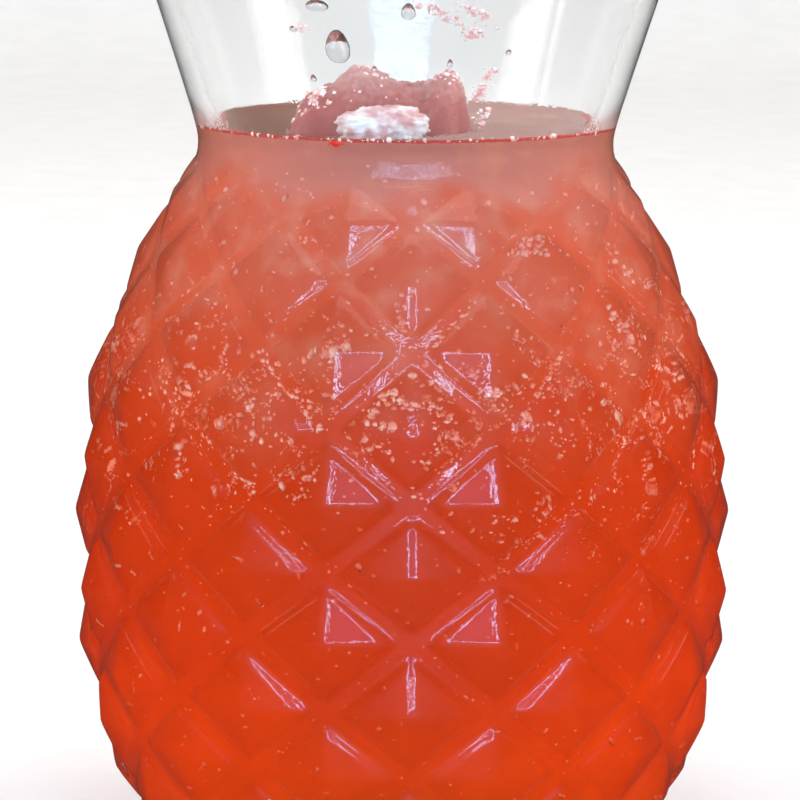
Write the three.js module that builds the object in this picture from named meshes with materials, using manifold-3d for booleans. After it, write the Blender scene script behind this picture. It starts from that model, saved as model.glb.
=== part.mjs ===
// Strawberry lemonade in a pressed tumbler: a barrel of raised diamonds, a narrow waist and a flared collar.
// Millimetres, +Z up, the foot rests on z = 0 and the axis of the glass is the Z axis.
import * as THREE from "three";
import { mergeVertices } from "three/addons/utils/BufferGeometryUtils.js";
import Module from "manifold-3d";

const wasm = await Module();
wasm.setup();

// Glass, outside
const DIAMONDS_ROUND = 12;
const COLUMNS = 2 * DIAMONDS_ROUND;
const GROOVE_HALF_SHARE = 0.15;
// One line for each level where grooves cross: height, radius in the groove, height of the diamond above it
const LATTICE_LEVELS = [
  { z: 5.0, radius: 33.0, relief: 0.5 },
  { z: 14.0, radius: 38.0, relief: 2.0 },
  { z: 23.2, radius: 41.0, relief: 1.9 },
  { z: 32.2, radius: 42.6, relief: 2.4 },
  { z: 41.8, radius: 43.1, relief: 2.4 },
  { z: 50.7, radius: 43.0, relief: 2.4 },
  { z: 60.0, radius: 42.7, relief: 2.2 },
  { z: 69.2, radius: 41.5, relief: 2.0 },
  { z: 78.7, radius: 38.7, relief: 1.8 },
  { z: 87.3, radius: 34.9, relief: 1.6 },
  { z: 94.6, radius: 31.5, relief: 1.2 },
  { z: 99.8, radius: 28.6, relief: 0.0 },
];
const FOOT_RADIUS = 29.0;
const FOOT_CURVE = [[30.6, 1.2]];
const WAIST_Z = 101.8;
const WAIST_RADIUS = 28.3;
const WAIST_TOP_Z = 103.2;
const WAIST_TOP_RADIUS = 28.45;
const NECK = [28.85, 105.2];
const FLARE_START = [29.5, 107.2];
const FLARE_MIDDLE_Z = 121.0;
const RIM_OUTER_RADIUS = 43.0;
const HEIGHT = 150.0;
const COLLAR_WALL = 2.9;
const RIM_WALL = 2.4;
// Rounded rim: how far in from its outer edge and how far down from its top, as shares of the wall
const RIM_CURVE = [[0.25, 0.12], [0.55, 0.0], [0.88, 0.16]];
const RIM_HALF = 0.5;

// Glass, inside
const FLOOR_Z = 8.5;
const FLOOR_RADIUS = 24.0;
const INNER_CURVE = [[30.4, 11.0], [34.4, 16.5], [37.6, 24.0], [39.2, 33.0], [39.7, 42.0], [39.6, 51.0],
  [39.2, 60.0], [37.8, 69.5], [35.2, 78.5], [31.5, 87.3], [27.9, 94.6], [25.7, 99.8]];
const INNER_WAIST_RADIUS = 25.3;

// Drink and what stands on it
const DRINK_LEVEL = 104.6;
const FILL_GAP = 0.25;
const REST_GAP = 0.05;
const MOUND_CENTRE = [-3.85, -11.7];
const MOUND_HALF = [12.3, 8.4];
// Ridge of the slush from left to right: place across, height above the drink
const MOUND_RIDGE = [
  [-16.2, 0.3], [-14.0, 3.5], [-9.9, 6.1], [-8.3, 7.6], [-6.1, 8.7], [-3.4, 7.7], [0.2, 6.0],
  [1.6, 6.0], [3.8, 7.6], [5.2, 7.9], [6.9, 6.4], [8.5, 0.3],
];
const ICE_CENTRE = [-3.5, -18.4];
const ICE_SIZE = [12.0, 6.0, 4.0];
const ICE_GAP = 0.3;
// Ice lump seen from above, as shares of its width and depth
const ICE_OUTLINE = [[-0.5, -0.22], [-0.3, -0.5], [0.16, -0.52], [0.44, -0.3],
  [0.5, 0.2], [0.3, 0.5], [-0.26, 0.5], [-0.48, 0.3]];
// Ice lump from its base up: share of its size, share of its height, slope across
const ICE_LAYERS = [[0.92, 0, 0], [1, 0.3, 0], [0.9, 0.74, 0.03], [0.6, 1, -0.05]];
const MOUND_RINGS = [1, 0.93, 0.82, 0.7, 0.57, 0.43, 0.28, 0.13];
const MOUND_SIDES = 44;
const MOUND_BRIM = 0.5;
// Outline seen from above: how square it is, and its lobes as share, number round and start.
const MOUND_SQUARENESS = 2.5;
const MOUND_LOBES = [[0.035, 5, 0.6], [0.025, 9, 0]];
// Side view: powers of the slope to the front and back, lowest height, and the size and spacing of lumps.
const MOUND_SLOPE = [2.2, 0.8];
const MOUND_LOWEST = 0.6;
const MOUND_LUMP = 0.2;
const MOUND_LUMP_WAVES = [1.9, 1.6];
const MOUND_LUMP_START = 0.7;

const ROUND = 48;
const FULL_TURN = 2 * Math.PI;

/** Point on the glass at a radius, an angle from the front (turning to the right) and a height. */
function polar(radius, angle, z) {
  return [radius * Math.sin(angle), -radius * Math.cos(angle), z];
}

/** Collects shared points and triangles of one closed skin. */
class Skin {
  constructor() {
    this.points = [];
    this.triangles = [];
  }

  add(point) {
    this.points.push(point);
    return this.points.length - 1;
  }

  face(a, b, c) {
    this.triangles.push(a, b, c);
  }

  /** Ring of equally spaced points; keeps the angle of every point for stitching. */
  ring(radius, z, count = ROUND) {
    const turns = [...Array(count).keys()].map((i) => (FULL_TURN * i) / count);
    return turns.map((angle) => ({ angle, index: this.add(polar(radius, angle, z)) }));
  }

  /** Joins two rings, walking both round the axis in step. The skin faces away from the axis going up. */
  stitch(lower, upper) {
    let i = 0;
    let j = 0;
    const angleOf = (ring, k) => (k === ring.length ? FULL_TURN : ring[k].angle);
    while (i < lower.length || j < upper.length) {
      const a = lower[i % lower.length].index;
      const b = upper[j % upper.length].index;
      const lowerNext = i < lower.length ? angleOf(lower, i + 1) : Infinity;
      const upperNext = j < upper.length ? angleOf(upper, j + 1) : Infinity;
      if (lowerNext <= upperNext) {
        i += 1;
        this.face(a, lower[i % lower.length].index, b);
      } else {
        j += 1;
        this.face(a, upper[j % upper.length].index, b);
      }
    }
  }

  /** Closes a ring to one point on the axis. */
  cap(ring, z, facingUp) {
    const middle = this.add([0, 0, z]);
    ring.forEach((corner, k) => {
      const next = ring[(k + 1) % ring.length].index;
      if (facingUp) this.face(corner.index, next, middle);
      else this.face(next, corner.index, middle);
    });
  }

  geometry() {
    const geometry = new THREE.BufferGeometry();
    geometry.setAttribute("position", new THREE.Float32BufferAttribute(this.points.flat(), 3));
    geometry.setIndex(this.triangles);
    return geometry;
  }
}

/** True where the grooves cross, false where a diamond has its peak. */
function isCrossing(level, column) {
  return (level + column) % 2 === 0;
}

/** Radius of the lattice at a level and column. */
function latticeRadius(level, column) {
  const { radius, relief } = LATTICE_LEVELS[level];
  return isCrossing(level, column) ? radius : radius + relief;
}

/** Builds the diamonds and returns the lowest and highest ring of their points. */
function addLattice(skin) {
  const step = FULL_TURN / COLUMNS;
  const columns = [...Array(COLUMNS).keys()];
  const share = GROOVE_HALF_SHARE;
  const corners = LATTICE_LEVELS.map(({ z }, level) =>
    columns.map((column) => skin.add(polar(latticeRadius(level, column), column * step, z))));

  // Point where a groove's edge meets the line between two levels or columns, close to the crossing
  const edgePoint = (levelA, columnA, levelB, columnB) => {
    const from = isCrossing(levelA, columnA) ? 1 - share : share;
    const lerp = (a, b) => a * from + b * (1 - from);
    const radius = lerp(LATTICE_LEVELS[levelA].radius, LATTICE_LEVELS[levelB].radius);
    const z = lerp(LATTICE_LEVELS[levelA].z, LATTICE_LEVELS[levelB].z);
    return skin.add(polar(radius, lerp(columnA, columnB) * step, z));
  };
  const across = LATTICE_LEVELS.map((_, level) =>
    columns.map((column) => edgePoint(level, column, level, column + 1)));
  const upward = LATTICE_LEVELS.slice(1).map((_, level) =>
    columns.map((column) => edgePoint(level, column, level + 1, column)));

  for (let level = 0; level < LATTICE_LEVELS.length - 1; level += 1) {
    for (let column = 0; column < COLUMNS; column += 1) {
      const right = (column + 1) % COLUMNS;
      const lowLeft = corners[level][column];
      const lowRight = corners[level][right];
      const highLeft = corners[level + 1][column];
      const highRight = corners[level + 1][right];
      const low = across[level][column];
      const high = across[level + 1][column];
      const left = upward[level][column];
      const rightEdge = upward[level][right];
      if (isCrossing(level, column)) {
        skin.face(low, lowRight, rightEdge);
        skin.face(left, high, highLeft);
        skin.face(lowLeft, low, left);
        skin.face(low, rightEdge, left);
        skin.face(rightEdge, high, left);
        skin.face(rightEdge, highRight, high);
      } else {
        skin.face(lowLeft, low, left);
        skin.face(rightEdge, highRight, high);
        skin.face(low, lowRight, rightEdge);
        skin.face(low, rightEdge, high);
        skin.face(low, high, left);
        skin.face(left, high, highLeft);
      }
    }
  }

  const ringAt = (level) => columns.flatMap((column) => {
    const offset = isCrossing(level, column) ? share : 1 - share;
    return [
      { angle: column * step, index: corners[level][column] },
      { angle: (column + offset) * step, index: across[level][column] },
    ];
  });
  return { bottom: ringAt(0), top: ringAt(LATTICE_LEVELS.length - 1) };
}

/** The whole tumbler as one closed skin: foot, diamonds, waist, collar, rounded rim, smooth inside. */
function glassGeometry() {
  const skin = new Skin();
  const lattice = addLattice(skin);
  const foot = skin.ring(FOOT_RADIUS, 0);
  skin.cap(foot, 0, false);
  const under = [foot, ...FOOT_CURVE.map(([radius, z]) => skin.ring(radius, z)), lattice.bottom];
  const flare = (z) => FLARE_START[0]
    + ((RIM_OUTER_RADIUS - FLARE_START[0]) * (z - FLARE_START[1])) / (HEIGHT - FLARE_START[1]);
  const wallAt = (z) => COLLAR_WALL + ((RIM_WALL - COLLAR_WALL) * (z - WAIST_Z)) / (HEIGHT - WAIST_Z);
  const rimBase = HEIGHT - RIM_HALF * RIM_WALL;
  const over = [
    lattice.top,
    skin.ring(WAIST_RADIUS, WAIST_Z),
    skin.ring(WAIST_TOP_RADIUS, WAIST_TOP_Z),
    skin.ring(...NECK),
    skin.ring(...FLARE_START),
    skin.ring(flare(FLARE_MIDDLE_Z), FLARE_MIDDLE_Z),
    skin.ring(flare(rimBase), rimBase),
    ...RIM_CURVE.map(([inwards, down]) =>
      skin.ring(RIM_OUTER_RADIUS - inwards * RIM_WALL, HEIGHT - down * RIM_WALL)),
    skin.ring(flare(rimBase) - RIM_WALL, rimBase),
    skin.ring(flare(FLARE_MIDDLE_Z) - wallAt(FLARE_MIDDLE_Z), FLARE_MIDDLE_Z),
    skin.ring(FLARE_START[0] - wallAt(FLARE_START[1]), FLARE_START[1]),
    skin.ring(INNER_WAIST_RADIUS, WAIST_TOP_Z),
    ...[...INNER_CURVE].reverse().map(([radius, z]) => skin.ring(radius, z)),
    skin.ring(FLOOR_RADIUS, FLOOR_Z),
  ];
  under.slice(1).forEach((ring, k) => skin.stitch(under[k], ring));
  over.slice(1).forEach((ring, k) => skin.stitch(over[k], ring));
  skin.cap(over[over.length - 1], FLOOR_Z, true);
  return skin.geometry();
}

/** Inner radius of the waist and collar at the drink's level. */
function innerRadiusAtLevel() {
  const top = FLARE_START[0] - COLLAR_WALL;
  const share = (DRINK_LEVEL - WAIST_TOP_Z) / (FLARE_START[1] - WAIST_TOP_Z);
  return INNER_WAIST_RADIUS + (top - INNER_WAIST_RADIUS) * share;
}

/** The drink: everything inside the glass up to its level. */
function drinkGeometry() {
  const skin = new Skin();
  const rings = [
    skin.ring(FLOOR_RADIUS - FILL_GAP, FLOOR_Z + FILL_GAP),
    ...INNER_CURVE.map(([radius, z]) => skin.ring(radius - FILL_GAP, z)),
    skin.ring(INNER_WAIST_RADIUS - FILL_GAP, WAIST_TOP_Z),
    skin.ring(innerRadiusAtLevel() - FILL_GAP, DRINK_LEVEL),
  ];
  skin.cap(rings[0], FLOOR_Z + FILL_GAP, false);
  rings.slice(1).forEach((ring, k) => skin.stitch(rings[k], ring));
  skin.cap(rings[rings.length - 1], DRINK_LEVEL, true);
  return skin.geometry();
}

/** Uneven edge of the slush: how far it reaches in each direction, a squarish oval with soft lobes. */
function moundEdge(angle) {
  const across = Math.abs(Math.sin(angle)) / MOUND_HALF[0];
  const along = Math.abs(Math.cos(angle)) / MOUND_HALF[1];
  const oval = (across ** MOUND_SQUARENESS + along ** MOUND_SQUARENESS) ** (-1 / MOUND_SQUARENESS);
  const lobes = MOUND_LOBES.map(([share, count, start]) => share * Math.sin(count * angle + start));
  return oval * (1 + lobes[0] + lobes[1]);
}

/** Height of the ridge at a place across, straight from one named point to the next. */
function ridgeHeight(x) {
  const last = MOUND_RIDGE.length - 1;
  if (x <= MOUND_RIDGE[0][0]) return MOUND_RIDGE[0][1];
  if (x >= MOUND_RIDGE[last][0]) return MOUND_RIDGE[last][1];
  const k = MOUND_RIDGE.findIndex(([at]) => at > x) - 1;
  const [fromX, fromZ] = MOUND_RIDGE[k];
  const [toX, toZ] = MOUND_RIDGE[k + 1];
  return fromZ + ((toZ - fromZ) * (x - fromX)) / (toX - fromX);
}

/** Height of the slush above the drink: the ridge, rounded off to the front and back, slightly lumpy. */
function moundHeight(x, y) {
  const away = Math.min(1, Math.abs(y - MOUND_CENTRE[1]) / MOUND_HALF[1]);
  const lift = ridgeHeight(x) * (1 - away ** MOUND_SLOPE[0]) ** MOUND_SLOPE[1];
  const [across, along] = MOUND_LUMP_WAVES;
  const lump = Math.sin(across * x + MOUND_LUMP_START) * Math.cos(along * y);
  return Math.max(MOUND_LOWEST, lift) + MOUND_LUMP * lump;
}

/** Heap of red slush standing out of the drink. */
function moundGeometry() {
  const skin = new Skin();
  const base = DRINK_LEVEL + REST_GAP;
  const [cx, cy] = MOUND_CENTRE;
  const loop = (share, heightOf) => [...Array(MOUND_SIDES).keys()].map((k) => {
    const angle = (FULL_TURN * k) / MOUND_SIDES;
    const reach = moundEdge(angle) * share;
    const x = cx + reach * Math.sin(angle);
    const y = cy - reach * Math.cos(angle);
    return { angle, index: skin.add([x, y, base + heightOf(x, y)]) };
  });
  const foot = loop(1, () => 0);
  const brim = () => MOUND_BRIM;
  const rings = [foot, ...MOUND_RINGS.map((share) => loop(share, share === 1 ? brim : moundHeight))];
  rings.slice(1).forEach((ring, k) => skin.stitch(rings[k], ring));
  const under = skin.add([cx, cy, base]);
  const top = skin.add([cx, cy, base + moundHeight(cx, cy)]);
  const inner = rings[rings.length - 1];
  foot.forEach((corner, k) => {
    const next = (k + 1) % MOUND_SIDES;
    skin.face(foot[next].index, corner.index, under);
    skin.face(inner[k].index, inner[next].index, top);
  });
  return skin.geometry();
}

/** Lump of cloudy ice at the front of the slush, with broken corners; grow makes it larger all round. */
function iceGeometry(grow = 0) {
  const [cx, cy] = ICE_CENTRE;
  const [width, depth, height] = ICE_SIZE;
  const skin = new Skin();
  const base = DRINK_LEVEL + REST_GAP - grow;
  const loops = ICE_LAYERS.map(([share, rise, slope]) => ICE_OUTLINE.map(([u, v]) => {
    const x = u * (width * share + 2 * grow);
    const y = v * (depth * share + 2 * grow);
    const z = base + rise * (height + 2 * grow) + slope * x;
    return { index: skin.add([cx + x, cy + y, z]) };
  }));
  const last = loops[loops.length - 1];
  ICE_OUTLINE.forEach((_, k) => {
    const next = (k + 1) % ICE_OUTLINE.length;
    loops.slice(1).forEach((upper, level) => {
      const lower = loops[level];
      skin.face(lower[k].index, lower[next].index, upper[k].index);
      skin.face(lower[next].index, upper[next].index, upper[k].index);
    });
  });
  for (let k = 1; k < ICE_OUTLINE.length - 1; k += 1) {
    skin.face(loops[0][0].index, loops[0][k + 1].index, loops[0][k].index);
    skin.face(last[0].index, last[k].index, last[k + 1].index);
  }
  return skin.geometry();
}

/** Turns a closed mesh into a solid that can be cut. */
function toSolid(geometry) {
  const merged = mergeVertices(geometry, 1e-5);
  return new wasm.Manifold(new wasm.Mesh({
    numProp: 3,
    vertProperties: new Float32Array(merged.attributes.position.array),
    triVerts: new Uint32Array(merged.index.array),
  }));
}

/** Turns a solid back into a mesh. */
function toGeometry(solid) {
  const mesh = solid.getMesh();
  const geometry = new THREE.BufferGeometry();
  geometry.setAttribute("position", new THREE.Float32BufferAttribute(mesh.vertProperties, 3));
  geometry.setIndex([...mesh.triVerts]);
  return geometry;
}

/** Slush with a hollow where the ice sits in it; slivers in front of the ice are left off. */
function slushGeometry() {
  const parts = toSolid(moundGeometry()).subtract(toSolid(iceGeometry(ICE_GAP))).decompose();
  parts.sort((a, b) => b.volume() - a.volume());
  return toGeometry(parts[0]);
}

/** Adds one named piece with its own finish. */
function piece(name, geometry, color, roughness) {
  geometry.computeVertexNormals();
  const mesh = new THREE.Mesh(geometry, new THREE.MeshStandardMaterial({ color, roughness, metalness: 0 }));
  mesh.name = name;
  return mesh;
}

const drink = new THREE.Group();
drink.name = "strawberry_lemonade";
drink.add(piece("glass", glassGeometry(), 0xdfe6e8, 0.05));
drink.add(piece("lemonade", drinkGeometry(), 0xd8452a, 0.3));
drink.add(piece("slush_mound", slushGeometry(), 0xc9605a, 0.55));
drink.add(piece("ice_lump", iceGeometry(), 0xe9dcea, 0.2));

export default drink;
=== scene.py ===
"""Strawberry lemonade in a pressed tumbler: looks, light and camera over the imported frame."""

import logging
import math
from dataclasses import dataclass
from enum import Enum
from typing import Any, Callable, Sequence

import bpy
import numpy as np
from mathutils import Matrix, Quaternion, Vector

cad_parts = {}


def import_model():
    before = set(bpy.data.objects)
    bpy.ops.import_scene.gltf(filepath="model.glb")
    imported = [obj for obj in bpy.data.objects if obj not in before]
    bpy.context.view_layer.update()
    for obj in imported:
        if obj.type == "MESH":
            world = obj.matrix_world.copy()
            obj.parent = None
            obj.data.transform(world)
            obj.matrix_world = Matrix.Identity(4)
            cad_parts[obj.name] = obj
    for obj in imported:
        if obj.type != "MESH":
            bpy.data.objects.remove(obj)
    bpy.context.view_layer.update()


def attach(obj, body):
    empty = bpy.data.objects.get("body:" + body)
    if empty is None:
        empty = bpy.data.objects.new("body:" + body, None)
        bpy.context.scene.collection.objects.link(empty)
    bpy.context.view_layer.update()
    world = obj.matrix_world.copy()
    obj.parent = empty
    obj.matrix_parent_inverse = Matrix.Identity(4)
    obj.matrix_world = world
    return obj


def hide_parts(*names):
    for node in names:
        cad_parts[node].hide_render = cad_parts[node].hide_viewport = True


LOG = logging.getLogger("strawberry_lemonade")
MM = 0.001
FULL_TURN = 2 * np.pi
# Height of the drink's level above the table, in mm
LEVEL = 104.6
ICE_IOR = 1.31
WATER_IOR = 1.33

Stops = Sequence[tuple[float, str]]
Row = tuple[float, ...]
Rows = tuple[Row, ...]
Shell = tuple[np.ndarray, list[np.ndarray]]
Owner = bpy.types.Material | bpy.types.World


# Small helpers


def linear(hex_colour: str) -> tuple[float, float, float, float]:
    """Turns an sRGB hex colour such as "#C84020" into linear light with full alpha."""
    parts = [int(hex_colour[i : i + 2], 16) / 255 for i in (1, 3, 5)]
    rgb = [c / 12.92 if c <= 0.04045 else ((c + 0.055) / 1.055) ** 2.4 for c in parts]
    return (rgb[0], rgb[1], rgb[2], 1.0)


def smoothstep(low: float, high: float, value: np.ndarray) -> np.ndarray:
    """Rises from 0 at low to 1 at high as 3 t squared minus 2 t cubed."""
    t = np.clip((value - low) / (high - low), 0, 1)
    return t * t * (3 - 2 * t)


def smooth_curve(knots: Sequence[float], values: Sequence[float], at: np.ndarray) -> np.ndarray:
    """Monotone cubic through the knots: each span is a cubic whose end slopes are limited means.

    Args:
        knots: Rising positions.
        values: Value at each knot.
        at: Positions to work out.

    Returns:
        The curve's values, flat beyond both ends.
    """
    x, y = np.asarray(knots, float), np.asarray(values, float)
    span, rise = np.diff(x), np.diff(y)
    slope = rise / span
    mean = np.zeros_like(y)
    same = slope[:-1] * slope[1:] > 0
    mean[1:-1] = np.where(same, 2 * slope[:-1] * slope[1:] / (slope[:-1] + slope[1:] + 1e-12), 0)
    mean[0], mean[-1] = slope[0], slope[-1]
    k = np.clip(np.searchsorted(x, at, side="right") - 1, 0, len(span) - 1)
    t = np.clip((at - x[k]) / span[k], 0, 1)
    a = (1 + 2 * t) * (1 - t) ** 2 * y[k] + t * t * (3 - 2 * t) * y[k + 1]
    return a + span[k] * (t * (1 - t) ** 2 * mean[k] - t * t * (1 - t) * mean[k + 1])


def value_noise(x: np.ndarray, y: np.ndarray, seed: int, cells: int = 64) -> np.ndarray:
    """Random heights from -1 to 1 on a unit grid, blended smoothly between the grid's corners.

    Args:
        x: Places on the grid in one direction.
        y: Places in the other.
        seed: Seed of the heights.
        cells: Size of the grid, after which it repeats.

    Returns:
        The height at each place.
    """
    table = np.random.default_rng(seed).uniform(-1, 1, (cells, cells))
    ix, iy = np.floor(x).astype(int), np.floor(y).astype(int)
    fx, fy = smoothstep(0, 1, x - ix), smoothstep(0, 1, y - iy)
    left, right, near, far = ix % cells, (ix + 1) % cells, iy % cells, (iy + 1) % cells
    low = table[left, near] * (1 - fx) + table[right, near] * fx
    high = table[left, far] * (1 - fx) + table[right, far] * fx
    return low * (1 - fy) + high * fy


def octaves(x: np.ndarray, y: np.ndarray, seed: int, count: int = 3) -> np.ndarray:
    """Sum of noise layers, each twice as fine and half as high as the one before."""
    return sum(value_noise(x * 2**k, y * 2**k, seed + k) / 2**k for k in range(count))


def ring_turns(count: int) -> np.ndarray:
    """Even turns once round, the first at the front."""
    return np.arange(count) * FULL_TURN / count


def grid_faces(rows: int, columns: int, diagonal: np.ndarray | None = None) -> list[np.ndarray]:
    """Faces of a grid that closes on itself along its columns.

    Args:
        rows: Number of rings.
        columns: Points in each ring.
        diagonal: For each cell, true to split it from low left to high right, false the other way;
            None leaves four-sided faces.

    Returns:
        A list of index arrays, wound so that a ring climbing outside a vessel faces outwards.
    """
    i, j = np.meshgrid(np.arange(rows - 1), np.arange(columns), indexing="ij")
    a, b = i * columns + j, i * columns + (j + 1) % columns
    c, d = b + columns, a + columns
    if diagonal is None:
        return [np.stack([a, b, c, d], -1).reshape(-1, 4)]
    first = np.where(diagonal[..., None], np.stack([a, b, c], -1), np.stack([a, b, d], -1))
    second = np.where(diagonal[..., None], np.stack([a, c, d], -1), np.stack([b, c, d], -1))
    return [first.reshape(-1, 3), second.reshape(-1, 3)]


def closed(points: np.ndarray, faces: list[np.ndarray], columns: int,
           tip: np.ndarray | None = None) -> Shell:
    """Closes both end rings of a grid, each with a fan of triangles round a middle point.

    Args:
        points: The grid's points, ring after ring.
        faces: The grid's faces.
        columns: Points in each ring.
        tip: Middle of the last fan; None takes the mean of the last ring, as the first fan does.

    Returns:
        The points and faces of the closed shell.
    """
    count = len(points)
    first, last = np.arange(columns), np.arange(columns) + count - columns
    tip = points[last].mean(0) if tip is None else tip
    start = np.stack([np.roll(first, -1), first, np.full(columns, count)], -1)
    end = np.stack([last, np.roll(last, -1), np.full(columns, count + 1)], -1)
    return np.vstack([points, points[first].mean(0), tip]), faces + [start, end]


def about_axis(radius: np.ndarray, turn: np.ndarray, height: np.ndarray | float) -> np.ndarray:
    """Points at x = r sin(turn), y = -r cos(turn), z = height, so that turn 0 is the front."""
    x, y = radius * np.sin(turn), -radius * np.cos(turn)
    return np.stack([x, y, np.broadcast_to(height, x.shape)], -1)


def make_mesh(name: str, points: np.ndarray, faces: Sequence[np.ndarray],
              finishes: Sequence[bpy.types.Material], smooth: bool = True) -> bpy.types.Object:
    """Puts points and arrays of equal-length faces into a new mesh object at the origin.

    Args:
        name: Name of the piece.
        points: Array whose rows are places in metres.
        faces: Index arrays, one row for each face.
        finishes: Its materials.
        smooth: True for a surface that shades as one curve.

    Returns:
        The linked object.
    """
    mesh = bpy.data.meshes.new(name)
    mesh.from_pydata(points.reshape(-1, 3).tolist(), [], [row for block in faces for row in block.tolist()])
    mesh.polygons.foreach_set("use_smooth", np.full(len(mesh.polygons), smooth))
    mesh.update()
    for finish in finishes:
        mesh.materials.append(finish)
    piece = bpy.data.objects.new(name, mesh)
    bpy.context.scene.collection.objects.link(piece)
    return piece


def store_vectors(piece: bpy.types.Object, name: str, values: np.ndarray) -> None:
    """Keeps three numbers for each corner of a piece, for its material to read."""
    piece.data.attributes.new(name, "FLOAT_VECTOR", "POINT").data.foreach_set("vector", values.ravel())


class Nodes:
    """Fills the node tree of one material, or of the world."""

    def __init__(self, owner: Owner) -> None:
        """Empties the owner's tree."""
        owner.use_nodes = True
        self.owner, self.tree = owner, owner.node_tree
        self.tree.nodes.clear()

    def add(self, kind: str, links: dict[Any, Any] | None = None, stops: Stops = (),
            **settings: Any) -> bpy.types.Node:
        """Adds a node.

        Args:
            kind: Blender's name for the node type, without the ShaderNode before it.
            links: Input name or number to a value, an output socket, or a node (its first output).
            stops: Positions and sRGB hex colours of a colour ramp.
            settings: Properties of the node itself.

        Returns:
            The new node.
        """
        node = self.tree.nodes.new("ShaderNode" + kind)
        for key, value in settings.items():
            setattr(node, key, value)
        for key, value in (links or {}).items():
            socket = node.inputs[key]
            if isinstance(value, bpy.types.Node):
                value = value.outputs[0]
            if isinstance(value, bpy.types.NodeSocket):
                self.tree.links.new(value, socket)
            else:
                socket.default_value = value
        if stops:
            bar = node.color_ramp.elements
            while len(bar) < len(stops):
                bar.new(0.5)
            for element, (position, colour) in zip(bar, stops):
                element.position, element.color = position, linear(colour)
        return node

    def share(self, place: Any, axis: str, low: float, high: float, most: float = 1.0) -> bpy.types.Node:
        """How far a place lies from a low to a high coordinate in mm, as a share times the most."""
        value = self.add("SeparateXYZ", {0: place}).outputs[axis]
        ends = {"From Min": low * MM, "From Max": high * MM, "To Max": most}
        return self.add("MapRange", {"Value": value} | ends)

    def finish(self, shader: bpy.types.Node, output: str = "OutputMaterial") -> Owner:
        """Links the surface and returns the owner of the tree."""
        self.add(output, {"Surface": shader})
        return self.owner

    def finish_clear(self, shader: bpy.types.Node, tint: str) -> Owner:
        """Links a surface that the eye sees as its shader, while lamps shine straight through it in a tint.

        Args:
            shader: What the eye sees.
            tint: sRGB hex of the light that gets through.

        Returns:
            The owner of the tree.
        """
        clear = self.add("BsdfTransparent", {"Color": linear(tint)})
        shadow = self.add("LightPath").outputs["Is Shadow Ray"]
        return self.finish(self.add("MixShader", {0: shadow, 1: shader, 2: clear}))


def new_material(name: str) -> Nodes:
    """Starts a material."""
    return Nodes(bpy.data.materials.new(name))


# Finishes


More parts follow.
